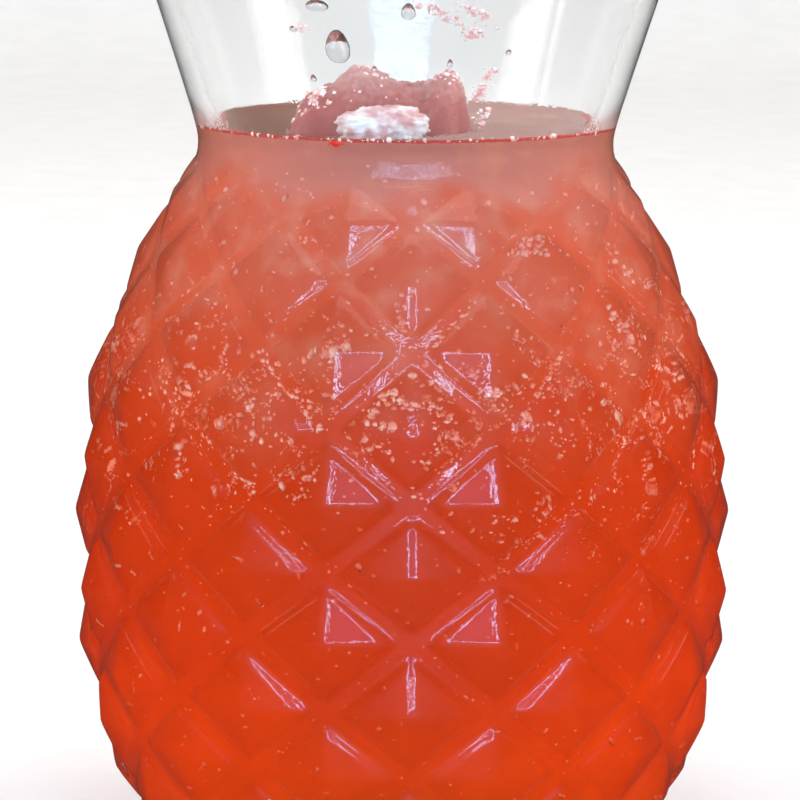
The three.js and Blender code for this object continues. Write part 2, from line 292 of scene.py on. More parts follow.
@dataclass(frozen=True)
class PressedGlass:
    """Soda-lime glass pressed in an iron mould and fire polished: clear, faintly wavy, soft edges.

    The eye sees sharp but slightly swimming reflections, a duller line on every ridge, and a thin haze.
    """

    # Painted caustic: tints of what shows through the glass, nearly clear in the grooves and darker up the
    # slopes and peaks, stand in for light the lattice gathers into the grooves
    groove_painted_light: str = "#FDFEFE"
    slope_painted_shade: str = "#F0ECEE"
    peak_painted_shade: str = "#E5E0E4"
    shadow_tint: str = "#F4F7F7"
    painted_shade_blend: float = 0.01
    ior: float = 1.46
    roughness: float = 0.03
    line_roughness: float = 0.12
    line_share: float = 0.03
    haze: float = 0.8
    haze_roughness: float = 0.46
    # Waves, grain and pits of the skin: size and height of each, in mm
    ripples: Rows = ((7.0, 0.05), (1.1, 0.018), (0.33, 0.016))
    # How uneven the skin is by height in mm, as grey: where that is white, the ripples are as many times higher
    # as deepest says. The waist is worn, the collar clean.
    unevenness: Stops = ((0.0, "#9C9C9C"), (94.0, "#9C9C9C"), (97.0, "#D8D8D8"),
                         (103.0, "#FFFFFF"), (107.0, "#4A4A4A"), (150.0, "#4A4A4A"))
    deepest: float = 3.0
    top_mm: float = 150.0

    def lines(self, n: Nodes, slant: Any, other: Any, out: Any, groove: float, strip: float) -> Any:
        """Share of worn line at a place: 1 on the ridges and groove edges, 0 a line's width away.

        Args:
            n: Nodes of the material.
            slant: Diagonal distance from the nearest peak.
            other: The same along the other diagonal.
            out: The greater of both.
            groove: Half width of a groove as a share of the way from groove to peak.
            strip: The same for the steep strip beside it.

        Returns:
            The node with the share.
        """
        across = n.add("Math", {0: slant, 1: other}, operation="SUBTRACT")
        near = n.add("Math", {0: across}, operation="ABSOLUTE")
        for place in (groove, strip):
            off = n.add("Math", {0: out, 1: 1 - place}, operation="SUBTRACT")
            mark = n.add("Math", {0: off}, operation="ABSOLUTE")
            near = n.add("Math", {0: near, 1: mark}, operation="MINIMUM")
        ends = {"From Max": self.line_share, "To Min": 1.0, "To Max": 0.0}
        return n.add("MapRange", {"Value": near} | ends)

    def skin(self, n: Nodes, place: Any) -> Any:
        """Bumps of the skin: three sizes of noise, one over the other, as deep as the height calls for.

        Args:
            n: Nodes of the material.
            place: Socket with the place on the glass.

        Returns:
            The node with the bumped normal.
        """
        height = n.add("SeparateXYZ", {0: place}).outputs["Z"]
        share = n.add("Math", {0: height, 1: 1 / (self.top_mm * MM)}, operation="MULTIPLY")
        fine = n.add("ValToRGB", {0: share}, [(z / self.top_mm, grey) for z, grey in self.unevenness])
        bump = None
        for size, rise in self.ripples:
            noise = n.add("TexNoise", {"Vector": place, "Scale": 1 / (size * MM), "Detail": 0.0})
            depth = n.add("Math", {0: fine, 1: self.deepest * rise * MM}, operation="MULTIPLY")
            links = {"Height": noise, "Strength": 1.0, "Distance": depth}
            bump = n.add("Bump", links | ({"Normal": bump} if bump else {}))
        return bump

    def build(self, groove: float, strip: float) -> bpy.types.Material:
        """Dresses the glass: a painted caustic tints what shows through it, lighter in the grooves and darker
        on the diamonds, and ridges and groove edges are duller.

        The attribute diamond_place holds both diagonal distances from the nearest peak, and 1 on the
        lattice.

        Args:
            groove: Half width of a groove as a share of the way from groove to peak.
            strip: The same for the steep strip beside it.

        Returns:
            The material.
        """
        n = new_material("pressed_soda_lime_glass")
        place = n.add("TexCoord").outputs["Object"]
        diamond = n.add("Attribute", attribute_name="diamond_place").outputs["Vector"]
        split = n.add("SeparateXYZ", {0: diamond}).outputs
        out = n.add("Math", {0: split["X"], 1: split["Y"]}, operation="MAXIMUM")
        line = self.lines(n, split["X"], split["Y"], out, groove, strip)
        line = n.add("Math", {0: line, 1: split["Z"]}, operation="MULTIPLY")
        dull = {"To Min": self.roughness, "To Max": self.line_roughness}
        depth = n.add("Math", {0: 1.0, 1: out}, operation="SUBTRACT")
        depth = n.add("Math", {0: depth, 1: split["Z"]}, operation="MULTIPLY")
        slope = groove + self.painted_shade_blend
        # Painted caustic shade: darker on the diamonds, lighter in the grooves
        painted_caustic_stops = ((groove, self.groove_painted_light), (slope, self.slope_painted_shade), (1.0, self.peak_painted_shade))
        glass = n.add("BsdfPrincipled", {
            "Base Color": n.add("ValToRGB", {0: depth}, painted_caustic_stops), "Normal": self.skin(n, place),
            "Roughness": n.add("MapRange", {"Value": line} | dull), "IOR": self.ior,
            "Transmission Weight": 1.0, "Coat Weight": self.haze, "Coat Roughness": self.haze_roughness})
        return n.finish_clear(glass, self.shadow_tint)


@dataclass(frozen=True)
class CloudyLemonade:
    """Strained strawberry juice, lemonade and crushed ice.

    The eye sees a cloudy drink, greyer pink at the top and red-orange below, with soft pale clouds.
    """

    name: str = "cloudy_strawberry_lemonade"
    foot_mm: float = 8.0
    # Colour by share of the height from foot to level: partly the drink's own layers, partly painted light,
    # with a painted glow towards the foot and a painted reflection haze in the greyer top
    stops: Stops = (
        (0.0, "#F24A04"), (0.15, "#E34002"), (0.31, "#CF3702"), (0.53, "#C43604"), (0.62, "#C13E15"),
        (0.745, "#C25131"), (0.865, "#C45E44"), (0.94, "#BD7161"), (1.0, "#B56F60"),
    )
    drift: float = 0.24
    # Painted reflection of dark surroundings: browner colour towards the left, and where it starts and is full,
    # in mm
    left: str = ""
    dark_reflection_span: tuple[float, float] = (6, -20)
    # Pale clouds: colour, strength, the noise and the shares of the height at which they start and are full
    pale: str = "#C97E64"
    cloudy: float = 0.6
    cloud_edge: tuple[float, float] = (0.5, 0.72)
    cloud_rise: tuple[float, float] = (0.6, 0.85)
    cloud_mm: float = 4.5
    patch_mm: float = 9.0
    fleck_mm: float = 1.3
    fleck_depth_mm: float = 0.15
    gloss: float = 0.08
    ior: float = 1.35
    roughness: float = 0.4

    def tone(self, n: Nodes, place: Any) -> Any:
        """Colour at a place: the height gradient with drifting pale clouds in its upper part.

        Args:
            n: Nodes of the material.
            place: Socket with the place in the drink.

        Returns:
            The socket with the colour.
        """
        share = n.share(place, "Z", self.foot_mm, LEVEL)
        noise = n.add("TexNoise", {"Vector": place, "Scale": 1 / (self.patch_mm * MM), "Detail": 2.0})
        shift = n.add("Math", {0: noise, 1: -0.5}, operation="ADD")
        moved = n.add("Math", {0: shift, 1: self.drift, 2: share}, operation="MULTIPLY_ADD")
        base = n.add("ValToRGB", {0: moved}, self.stops)
        cloud = n.add("TexNoise", {"Vector": place, "Scale": 1 / (self.cloud_mm * MM), "Detail": 3.0})
        (low, high), (start, full) = self.cloud_edge, self.cloud_rise
        cloud_share = n.add("MapRange", {"Value": cloud, "From Min": low, "From Max": high})
        rise = {"From Min": start, "From Max": full, "To Max": self.cloudy}
        upper = n.add("MapRange", {"Value": share} | rise)
        amount = n.add("Math", {0: cloud_share, 1: upper}, operation="MULTIPLY")
        return n.add("Mix", {0: amount, 6: base, 7: linear(self.pale)}, data_type="RGBA").outputs[2]

    def build(self) -> bpy.types.Material:
        """Dresses the drink: a height gradient, drifting pale clouds and fine flecks.

        Against the glass it hardly mirrors, because both bend light alike; its open top is wet.

        Returns:
            The material.
        """
        n = new_material(self.name)
        place = n.add("TexCoord").outputs["Object"]
        colour = self.tone(n, place)
        if self.left:
            # Painted reflection of dark surroundings: the colour turns browner towards the left
            side = n.share(place, "X", *self.dark_reflection_span)
            colour = n.add("Mix", {0: side, 6: colour, 7: linear(self.left)}, data_type="RGBA").outputs[2]
        fleck = n.add("TexNoise", {"Vector": place, "Scale": 1 / (self.fleck_mm * MM), "Detail": 0.0})
        bump = n.add("Bump", {"Height": fleck, "Strength": 0.6, "Distance": self.fleck_depth_mm * MM})
        return n.finish(n.add("BsdfPrincipled", {
            "Base Color": colour, "Roughness": self.roughness, "IOR": self.ior,
            "Specular IOR Level": self.gloss, "Normal": bump}))


@dataclass(frozen=True)
class WetSlush:
    """Crushed ice soaked in pink juice: wet, grainy, paler towards its peaks."""

    low: str = "#9A423A"
    middle: str = "#A05048"
    high: str = "#BC8C86"
    middle_share: float = 0.55
    from_mm: float = 104.0
    to_mm: float = 114.0
    grain_mm: float = 0.9
    grain_depth_mm: float = 0.3
    grain_share: float = 0.7
    grain_shift: float = -0.3
    roughness: float = 0.14
    # How far light gets into it: weight, reach of red, green and blue, and the reach of 1 in mm
    depth: float = 0.7
    reach: tuple[float, float, float] = (1.0, 0.45, 0.4)
    reach_mm: float = 3.5

    def build(self) -> bpy.types.Material:
        """Dresses the slush, paler towards its peaks, with bright wet grains.

        Returns:
            The material.
        """
        n = new_material("wet_pink_slush")
        place = n.add("TexCoord").outputs["Object"]
        share = n.share(place, "Z", self.from_mm, self.to_mm)
        grain = n.add("TexNoise", {"Vector": place, "Scale": 1 / (self.grain_mm * MM), "Detail": 3.0})
        mixed = n.add("Math", {0: grain, 1: self.grain_share, 2: share}, operation="MULTIPLY_ADD")
        mixed = n.add("Math", {0: mixed, 1: self.grain_shift}, operation="ADD")
        stops = ((0.0, self.low), (self.middle_share, self.middle), (1.0, self.high))
        bump = n.add("Bump", {"Height": grain, "Strength": 0.7, "Distance": self.grain_depth_mm * MM})
        return n.finish(n.add("BsdfPrincipled", {
            "Base Color": n.add("ValToRGB", {0: mixed}, stops), "Roughness": self.roughness,
            "IOR": WATER_IOR, "Subsurface Weight": self.depth, "Subsurface Radius": self.reach,
            "Subsurface Scale": self.reach_mm * MM, "Normal": bump}))


@dataclass(frozen=True)
class IceFinish:
    """Frozen water with trapped air. The eye sees it milky, wet and bright, uneven in soft clouds."""

    name: str = "milky_wet_ice"
    colour: str = "#D8A09A"
    bright: str = "#FFF4EE"
    transmission: float = 0.15
    roughness: float = 0.12
    bump_mm: float = 0.25
    scale_mm: float = 2.4
    # The noise at which its own colour ends and the bright one is full
    cloud_edge: tuple[float, float] = (0.4, 0.6)
    gloss: float = 0.5
    depth: float = 0.5
    reach: tuple[float, float, float] = (1.0, 0.8, 0.8)
    reach_mm: float = 2.0

    def build(self) -> bpy.types.Material:
        """Dresses the ice, uneven enough to sparkle.

        Returns:
            The material.
        """
        n = new_material(self.name)
        place = n.add("TexCoord").outputs["Object"]
        rough = n.add("TexNoise", {"Vector": place, "Scale": 1 / (self.scale_mm * MM), "Detail": 3.0})
        bump = n.add("Bump", {"Height": rough, "Strength": 0.8, "Distance": self.bump_mm * MM})
        stops = tuple(zip(self.cloud_edge, (self.colour, self.bright)))
        return n.finish(n.add("BsdfPrincipled", {
            "Base Color": n.add("ValToRGB", {0: rough}, stops), "Roughness": self.roughness, "IOR": ICE_IOR,
            "Specular IOR Level": self.gloss, "Transmission Weight": self.transmission,
            "Subsurface Weight": self.depth, "Subsurface Radius": self.reach,
            "Subsurface Scale": self.reach_mm * MM, "Normal": bump}))


def wet_crumb(name: str, colour: str, bright: str, roughness: float = 0.1,
              scale_mm: float = 2.4) -> IceFinish:
    """Finish of a wet crumb or bubble too small to see into: no light passes or spreads inside it."""
    return IceFinish(name, colour, bright, 0.0, roughness, scale_mm=scale_mm, depth=0.0)


@dataclass(frozen=True)
class SunkenIce:
    """Crushed ice just under the skin of the drink: a bright heart that fades into the drink round it.

    The attribute grain_look holds how far a place stands out of the drink, and how bright its grain is.
    """

    name: str
    colour: str
    bright: str
    # Paler tone high up: its share where it is full, and the heights in mm at which it starts and is full
    upper: str = "#DE9E90"
    upper_share: float = 0.9
    upper_span: tuple[float, float] = (70, 92)
    roughness: float = 0.3
    gloss: float = 0.08

    def build(self) -> bpy.types.Material:
        """Dresses the grains: their own tone at the heart, paler high up, the drink's tone at the rim.

        Returns:
            The material.
        """
        n = new_material(self.name)
        place = n.add("TexCoord").outputs["Object"]
        look = n.add("Attribute", attribute_name="grain_look").outputs["Vector"]
        split = n.add("SeparateXYZ", {0: look}).outputs
        own = n.add("ValToRGB", {0: split["Y"]}, ((0.0, self.colour), (1.0, self.bright)))
        paler = n.share(place, "Z", *self.upper_span, self.upper_share)
        own = n.add("Mix", {0: paler, 6: own, 7: linear(self.upper)}, data_type="RGBA").outputs[2]
        drink = CloudyLemonade().tone(n, place)
        tone = n.add("Mix", {0: split["X"], 6: drink, 7: own}, data_type="RGBA").outputs[2]
        return n.finish(n.add("BsdfPrincipled", {
            "Base Color": tone, "Roughness": self.roughness, "IOR": ICE_IOR,
            "Specular IOR Level": self.gloss}))


class Grain(Enum):
    """Kinds of small ice in the drink, with their dull and bright colours."""

    CORAL = ("coral_ice_grains", "#DC6038", "#F8B094")
    BLUSH = ("blush_ice_grains", "#E87C58", "#FCD2BA")


# Glass


@dataclass
class Tumbler:
    """Pressed tumbler: barrel with a lattice of diamonds, narrow waist, plain flared collar.

    Sizes are in mm. A profile's rows are radius and height.
    """

    diamonds: int = 12
    fine: int = 14
    heights: Row = (5.0, 14.0, 23.2, 32.2, 41.8, 50.7, 60.0, 69.2, 78.7, 87.3, 94.6, 99.8)
    radii: Row = (33.0, 38.0, 41.0, 42.6, 43.1, 43.0, 42.7, 41.5, 38.7, 34.9, 31.5, 28.6)
    reliefs: Row = (0.5, 2.0, 1.9, 2.4, 2.4, 2.4, 2.2, 2.0, 1.8, 1.6, 1.2, 0.0)
    groove_share: float = 2 / 14
    strip_share: float = 4 / 14
    strip_rise: float = 0.2
    # Power that rounds the ridges of a diamond: the higher, the sharper
    sharpness: int = 14
    # Levels over which the worn lines fade in above the foot, and out below the collar
    fade_in: float = 0.8
    fade_out: tuple[float, float] = (0.1, 1.6)
    # The mould's two seams: turn in degrees, height, sine of half their width, rings that have them
    seam_turn: float = 32.7
    seam_rise: float = 0.09
    seam_spread: float = 0.012
    outer_rows: int = 14
    foot: Rows = ((20.0, 0.0), (28.2, 0.0), (29.2, 0.12), (30.3, 0.6), (31.3, 1.6), (32.2, 3.2))
    collar: Rows = (
        (28.36, 100.8), (28.3, 101.8), (28.32, 102.6), (28.5, 103.6), (28.85, 105.0), (29.3, 106.6),
        (30.0, 108.8), (31.0, 112.0), (32.6, 117.0), (34.2, 122.0), (36.7, 130.0), (39.2, 138.0),
        (41.1, 144.0), (42.5, 148.2), (42.85, 149.2), (42.75, 149.75), (42.35, 150.0), (41.8, 150.0),
        (41.25, 149.8), (40.85, 149.3), (40.45, 148.4), (38.8, 143.2), (36.8, 137.2), (34.2, 129.4),
        (31.5, 121.4), (29.8, 116.4), (28.2, 111.6), (27.1, 108.4), (26.4, 106.2), (25.75, 104.6),
        (25.4, 103.2),
    )
    # Height above which the collar's profile belongs to the rim
    rim: float = 148.5
    inner_heights: Row = (8.5, 11.0, 16.5, 24.0, 33.0, 42.0, 51.0,
                          60.0, 69.5, 78.5, 87.3, 94.6, 99.8, 103.2)
    inner_radii: Row = (24.0, 30.4, 34.4, 37.6, 39.2, 39.7, 39.6,
                        39.2, 37.8, 35.2, 31.5, 27.9, 25.7, 25.3)
    # Heights of the rings inside, from the waist down, and the flat floor
    inner_rings: Row = (101.6, 99.8, 97.2, 94.6, 91.0, 87.3, 83.0, 78.5, 74.0, 69.5, 64.5, 60.0, 55.0, 51.0,
                        46.0, 42.0, 37.0, 33.0, 28.5, 24.0, 20.0, 16.5, 13.0, 11.0, 9.4, 8.7)
    floor: Rows = ((22.5, 8.5), (8.0, 8.5), (0.0, 8.5))

    def inner_radius(self, height: np.ndarray | Row) -> np.ndarray:
        """Radius of the inside at a height up to the waist, a smooth curve through the profile."""
        return smooth_curve(self.inner_heights, self.inner_radii, np.asarray(height, float))

    def collar_inner(self, height: np.ndarray) -> np.ndarray:
        """Radius of the collar's inside, straight between the points of its profile.

        Args:
            height: Heights between the waist and the rim.

        Returns:
            The radius at each height.
        """
        rows = np.array(self.collar[::-1])
        inside = rows[: np.argmax(rows[:, 1] > self.rim)]
        return np.interp(height, inside[:, 1], inside[:, 0])

    def slants(self, across: np.ndarray, up: np.ndarray) -> tuple[np.ndarray, np.ndarray]:
        """Both diagonal distances from the nearest peak, 0 at the peak and 1 in the middle of a groove."""
        return np.abs((across + up) % 2 - 1), np.abs((across - up) % 2 - 1)

    def relief(self, across: np.ndarray, up: np.ndarray) -> np.ndarray:
        """Height of the diamonds above the grooves, from 0 in a groove to 1 on a peak.

        With a and b the two diagonal distances from the nearest peak, each from 0 to 1, the distance
        outwards is their rounded maximum. A steep strip climbs out of the flat groove, then a flatter
        facet climbs to the peak.

        Args:
            across: Columns of half a diamond, counted round the glass.
            up: Levels of half a diamond, counted from the foot.

        Returns:
            The relative height on the same grid.
        """
        a, b = self.slants(across, up)
        out = (a**self.sharpness + b**self.sharpness + 1e-20) ** (1 / self.sharpness)
        strip = np.clip((1 - self.groove_share - out) / (self.strip_share - self.groove_share), 0, 1)
        facet = np.clip((1 - self.groove_share - out) / (1 - self.groove_share), 0, 1)
        return self.strip_rise * strip + (1 - self.strip_rise) * facet

    def build(self) -> bpy.types.Object:
        """Builds the whole glass as one closed skin, turned about Z, and dresses it.

        Returns:
            The dressed piece.
        """
        columns = 2 * self.diamonds * self.fine
        turn, across = ring_turns(columns), np.arange(columns) / self.fine
        top = len(self.heights) - 1
        levels = (np.arange(top * self.fine + 1) / self.fine)[:, None]
        height, groove, rise = (smooth_curve(range(top + 1), row, levels)
                                for row in (self.heights, self.radii, self.reliefs))
        lattice = groove + rise * self.relief(across, levels)
        inside = np.stack([self.inner_radius(self.inner_rings), self.inner_rings], -1)
        above = np.vstack([self.collar, inside, self.floor[:-1]])
        seam = np.exp(-((np.sin(turn - math.radians(self.seam_turn)) / self.seam_spread) ** 2))
        raised = self.seam_rise * seam * (np.arange(len(above)) < self.outer_rows)[:, None]
        foot = np.array(self.foot)
        radius = np.vstack([foot[:, :1] + 0 * turn, lattice, above[:, :1] + raised])
        level = np.vstack([foot[:, 1:], height, above[:, 1:]])
        rings = about_axis(radius, turn, level).reshape(-1, 3) * MM

        cells = np.ones((len(radius) - 1, columns), bool)
        row, column = np.indices((len(levels) - 1, columns))
        cells[len(foot) : len(foot) + len(row)] = (row // self.fine + column // self.fine) % 2 == 0
        tip = np.array([0, 0, self.floor[-1][1] * MM])
        points, faces = closed(rings, grid_faces(len(radius), columns, cells), columns, tip)
        glass = PressedGlass().build(self.groove_share, self.strip_share)
        piece = make_mesh("pressed_tumbler", points, faces, [glass])
        high, low = (top - step for step in self.fade_out)
        shown = smoothstep(0, self.fade_in, levels) * smoothstep(high, low, levels)
        diamond = np.zeros((len(points), 3), np.float32)
        first = len(foot) * columns
        marks = np.stack([*self.slants(across, levels), shown + 0 * lattice], -1)
        diamond[first : first + lattice.size] = marks.reshape(-1, 3)
        store_vectors(piece, "diamond_place", diamond)
        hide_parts("glass")
        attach(piece, "root")
        return piece


# Drink


@dataclass
class Lemonade:
    """The drink up to its level, with a fine edge that climbs the wall. Sizes in mm."""

    tumbler: Tumbler
    # Heights of the lowest rings, first height and number of the even ones, and the radius and slope above
    low_rings: Row = (8.4, 8.8, 9.6)
    first_ring: float = 10.8
    even_rings: int = 76
    high_ring: float = 104.0
    high_radius: float = 25.4
    high_slope: float = 0.25
    # How far it reaches into the wall, and how high and how far from it the edge climbs
    reach: float = 0.15
    climb: float = 0.45
    climb_reach: float = 0.7
    # Distances of the open top's rings from the wall
    top_rings: Row = (0.0, 0.15, 0.45, 0.9, 1.6, 2.8, 5.0, 9.0, 14.0, 19.0, 23.0)
    # Ripples of the open top: height, length, and the radii between which they fade towards the wall
    ripple: float = 0.16
    ripple_length: float = 4.0
    calm_beyond: tuple[float, float] = (25.5, 22.0)
    # Width of the red edge, and the cosine of the turn up to which it is red
    red_rim: float = 0.5
    red_until: float = -0.1
    columns: int = 192

    @staticmethod
    def open_top() -> CloudyLemonade:
        """Finish of the open surface: wet, its darker tones a painted reflection of dark surroundings, browner
        on the left and pinker to the right.
        """
        return CloudyLemonade("open_lemonade_top", stops=((0.0, "#A2766A"), (1.0, "#A67E74")),
                              left="#74442E", pale="#B4968C", gloss=0.3, ior=1.01, roughness=0.15)

    @staticmethod
    def climbing_edge() -> CloudyLemonade:
        """Finish of the rim of drink that climbs the wall: a thin clear red line."""
        return CloudyLemonade("red_climbing_edge", stops=((0.0, "#B2423A"), (1.0, "#B2423A")),
                              cloudy=0.0, gloss=0.3, ior=1.01, roughness=0.15)

    def build(self) -> bpy.types.Object:
        """Builds the drink as a turned solid along the wall, with a gently uneven top, and dresses it.

        Beside the wall the top climbs by the climb's height times e to minus the distance over its reach.

        Returns:
            The dressed piece.
        """
        even_end = self.tumbler.inner_heights[-1]
        even = np.linspace(self.first_ring, even_end, self.even_rings)
        side_z = np.concatenate([self.low_rings, even, [self.high_ring, LEVEL]])
        above = self.high_radius + self.high_slope * (side_z - even_end)
        wall = np.where(side_z <= even_end, self.tumbler.inner_radius(side_z), above) + self.reach
        away = np.array(self.top_rings)
        lift = self.climb * np.exp(-away / self.climb_reach)
        radius = np.concatenate([wall, wall[-1] - away])[:, None]
        height = np.concatenate([side_z, LEVEL + lift])[:, None]
        turn, sides, count = ring_turns(self.columns), len(side_z), self.columns
        rings = about_axis(radius, turn, height)
        flat = rings[..., :2] / self.ripple_length
        ripple = self.ripple * octaves(flat[..., 0], flat[..., 1], 3)
        rings[sides:, :, 2] += (ripple * smoothstep(*self.calm_beyond, radius))[sides:]
        tip = np.array([0, 0, LEVEL * MM])
        points, faces = closed(rings.reshape(-1, 3) * MM, grid_faces(len(radius), count), count, tip)
        finishes = (CloudyLemonade(), self.open_top(), self.climbing_edge())
        piece = make_mesh("lemonade_body", points, faces, [finish.build() for finish in finishes])
        # Numbers of the finishes: 0 for side and bottom, 1 for the open top, 2 for the climbing edge
        finish = np.zeros(len(piece.data.polygons), np.int32)
        finish[(sides - 1) * count :] = 1
        rim = np.arange((sides - 1) * count, (sides + int(np.sum(away < self.red_rim))) * count)
        finish[rim] = np.where(np.cos(turn[rim % count]) > self.red_until, 2, 1)
        finish[(len(radius) - 1) * count : len(radius) * count] = 0
        piece.data.polygons.foreach_set("material_index", finish)
        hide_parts("lemonade")
        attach(piece, "root")
        return piece


def lump_template() -> tuple[np.ndarray, np.ndarray]:
    """Small ball of 20 triangles: three golden rectangles joined.

    Returns:
        Its corners, at a distance of 1 from its middle, and its faces.
    """
    g = (1 + 5**0.5) / 2
    corners = np.array(
        [(-1, g, 0), (1, g, 0), (-1, -g, 0), (1, -g, 0), (0, -1, g), (0, 1, g), (0, -1, -g), (0, 1, -g),
         (g, 0, -1), (g, 0, 1), (-g, 0, -1), (-g, 0, 1)], float)
    faces = np.array(
        [(0, 11, 5), (0, 5, 1), (0, 1, 7), (0, 7, 10), (0, 10, 11), (1, 5, 9), (5, 11, 4), (11, 10, 2),
         (10, 7, 6), (7, 1, 8), (3, 9, 4), (3, 4, 2), (3, 2, 6), (3, 6, 8), (3, 8, 9), (4, 9, 5), (2, 4, 11),
         (6, 2, 10), (8, 6, 7), (9, 8, 1)])
    return corners / np.linalg.norm(corners[0]), faces


def lumps(centres: np.ndarray, sizes: np.ndarray, rng: np.random.Generator,
          stretches: tuple[float, float] = (0.7, 1.35), dent: float = 0.22) -> Shell:
    """Small uneven balls: the template scaled by a random size on each axis, with moved corners.

    Args:
        centres: Array whose rows are places in mm.
        sizes: Their radii in mm.
        rng: Seeded source of draws.
        stretches: Least and greatest stretch of an axis.
        dent: Share of the radius by which a corner moves in or out at most.

    Returns:
        Points in metres and one array of faces.
    """
    corners, faces = lump_template()
    stretch = rng.uniform(*stretches, (len(centres), 1, 3))
    jitter = 1 + rng.uniform(-dent, dent, (len(centres), len(corners), 1))
    points = centres[:, None, :] + corners[None] * jitter * stretch * sizes[:, None, None]
    index = faces[None] + (np.arange(len(centres)) * len(corners))[:, None, None]
    return points.reshape(-1, 3) * MM, [index.reshape(-1, 3)]


@dataclass(frozen=True)
class Radii:
    """Radii of small lumps in mm: e to a normal draw, held between the least and the greatest."""

    middle: float
    spread: float
    least: float
    most: float

    def draw(self, rng: np.random.Generator, count: int) -> np.ndarray:
        """Draws as many radii as asked for."""
        return np.clip(rng.lognormal(self.middle, self.spread, count), self.least, self.most)


@dataclass
class IceGrains:
    """Crushed ice and small bubbles that show against the wall of the glass. Sizes in mm."""

    tumbler: Tumbler
    seed: int = 11
    # Mean radius of the wall where the strings lie
    wall: float = 37.0
    strings: int = 210
    in_string: int = 25
    # Height of the strings' hearts and its spread, distance of the grains from them, and the arc they fill
    heart_z: tuple[float, float] = (69.0, 6.5)
    bow: tuple[float, float] = (0.6, 3.4)
    arc: float = 2.6
    flatter: float = 0.8
    scatter: float = 0.35
    # Loose grains: number, lowest height and range, and the two powers of their draw
    loose: int = 3000
    loose_z: tuple[float, float] = (12, 88)
    loose_draw: tuple[float, float] = (1.7, 1.3)
    kept_z: tuple[float, float] = (11, 101)
    fine: Radii = Radii(-1.28, 0.4, 0.12, 0.6)
    coarse: Radii = Radii(-0.75, 0.25, 0.3, 0.68)
    coarse_scatter: float = 0.3
    # Share of its radius by which a grain stands out of the drink, and share of that over which it fades in
    out_share: float = 0.28
    fade_share: float = 0.8
    # Brightness: the two powers of its draw, what it grows from and by, between which heights, and the range
    # of the coarse grains
    bright_draw: tuple[float, float] = (1.4, 2.2)
    bright_low: float = 0.15
    bright_gain: float = 0.75
    bright_z: tuple[float, float] = (48.0, 64.0)
    coarse_bright: tuple[float, float] = (0.45, 1.0)
    # Strings of coarser ice, as the photograph shows them: turn in degrees and height of both ends, number
    seen: Rows = (
        # The first string lies along a lattice line of the glass: partly real grains, partly a painted
        # highlight of that ridge's glint
        (-31.5, 76.7, -17.0, 68.2, 26), (-27.6, 75.9, -11.5, 78.8, 16), (-16.7, 77.7, -15.4, 77.2, 4),
        (-33.4, 72.6, -30.1, 66.3, 12), (-50.5, 71.1, -45.4, 72.1, 6), (-47.2, 74.2, -41.7, 73.8, 6),
        (-48.5, 63.8, -47.7, 59.7, 8), (-38.5, 68.5, -36.7, 67.6, 4), (-33.9, 62.0, -29.5, 60.9, 8),
        (-23.8, 62.5, -17.7, 61.9, 7), (-9.0, 67.4, -6.6, 71.0, 8), (-6.6, 71.0, -4.1, 73.3, 6),
        (-4.1, 73.3, -1.0, 70.6, 6), (-7.7, 69.4, -3.0, 68.7, 8), (-28.4, 72.5, -25.3, 71.3, 5),
        (-43.8, 67.1, -39.5, 65.4, 6), (-49.2, 78.9, -48.7, 78.5, 2), (21.5, 90.0, 35.4, 89.4, 14),
        (26.3, 91.1, 34.6, 90.8, 8), (53.8, 87.5, 67.2, 82.8, 12), (4.2, 78.4, 12.4, 83.1, 10),
        (13.6, 73.5, 20.7, 72.5, 9), (32.2, 77.1, 23.9, 71.5, 16), (19.3, 68.6, 23.4, 69.2, 9),
        (21.1, 70.3, 23.1, 69.7, 6), (47.6, 81.4, 51.5, 75.4, 12), (56.6, 74.2, 66.0, 71.0, 16),
        (44.4, 66.0, 44.9, 64.3, 4), (-2.4, 72.2, 6.8, 69.8, 12), (37.9, 70.7, 44.3, 69.0, 7),
        (52.5, 62.7, 57.8, 61.4, 4), (68.3, 61.7, 68.9, 59.5, 4), (-72.4, 63.3, -60.0, 67.3, 6),
        (-61.1, 69.9, -53.7, 72.4, 6),
    )

    def places(self, rng: np.random.Generator) -> tuple[np.ndarray, np.ndarray]:
        """Turn and height of each grain: curved strings thick round the shoulder, loose ones everywhere.

        A string is an arc about its heart: its grains lie at one distance from the heart, at angles drawn
        within the arc, with a little scatter.

        Args:
            rng: Seeded source of draws.

        Returns:
            Turns from the front and heights.
        """
        one, every = (self.strings, 1), (self.strings, self.in_string)
        heart_turn = rng.uniform(0, FULL_TURN, one)
        heart_z = rng.normal(*self.heart_z, one)
        bow = rng.uniform(*self.bow, one)
        along = rng.uniform(0, FULL_TURN, one) + rng.uniform(0, self.arc, every)
        scatter = rng.normal(0, self.scatter, (2, *every))
        turn = heart_turn + (bow * np.sin(along) + scatter[0]) / self.wall
        height = heart_z + self.flatter * bow * np.cos(along) + scatter[1]
        low, span = self.loose_z
        loose = low + span * rng.beta(*self.loose_draw, self.loose)
        turn = np.append(turn, rng.uniform(0, FULL_TURN, self.loose))
        height = np.append(height, loose)
        keep = (height > self.kept_z[0]) & (height < self.kept_z[1])
        return turn[keep], height[keep]

    def seen_places(self, rng: np.random.Generator) -> tuple[np.ndarray, np.ndarray]:
        """Turn and height of each coarser grain: at random along its string, with a little scatter.

        Args:
            rng: Seeded source of draws.

        Returns:
            Turns from the front and heights.
        """
        rows = np.array(self.seen)
        ends = np.repeat(rows[:, :4], rows[:, 4].astype(int), axis=0)
        share = rng.uniform(0, 1, len(ends))
        scatter = rng.normal(0, self.coarse_scatter, (2, len(ends)))
        turn = np.radians(ends[:, 0] + share * (ends[:, 2] - ends[:, 0])) + scatter[0] / self.wall
        return turn, ends[:, 1] + share * (ends[:, 3] - ends[:, 1]) + scatter[1]

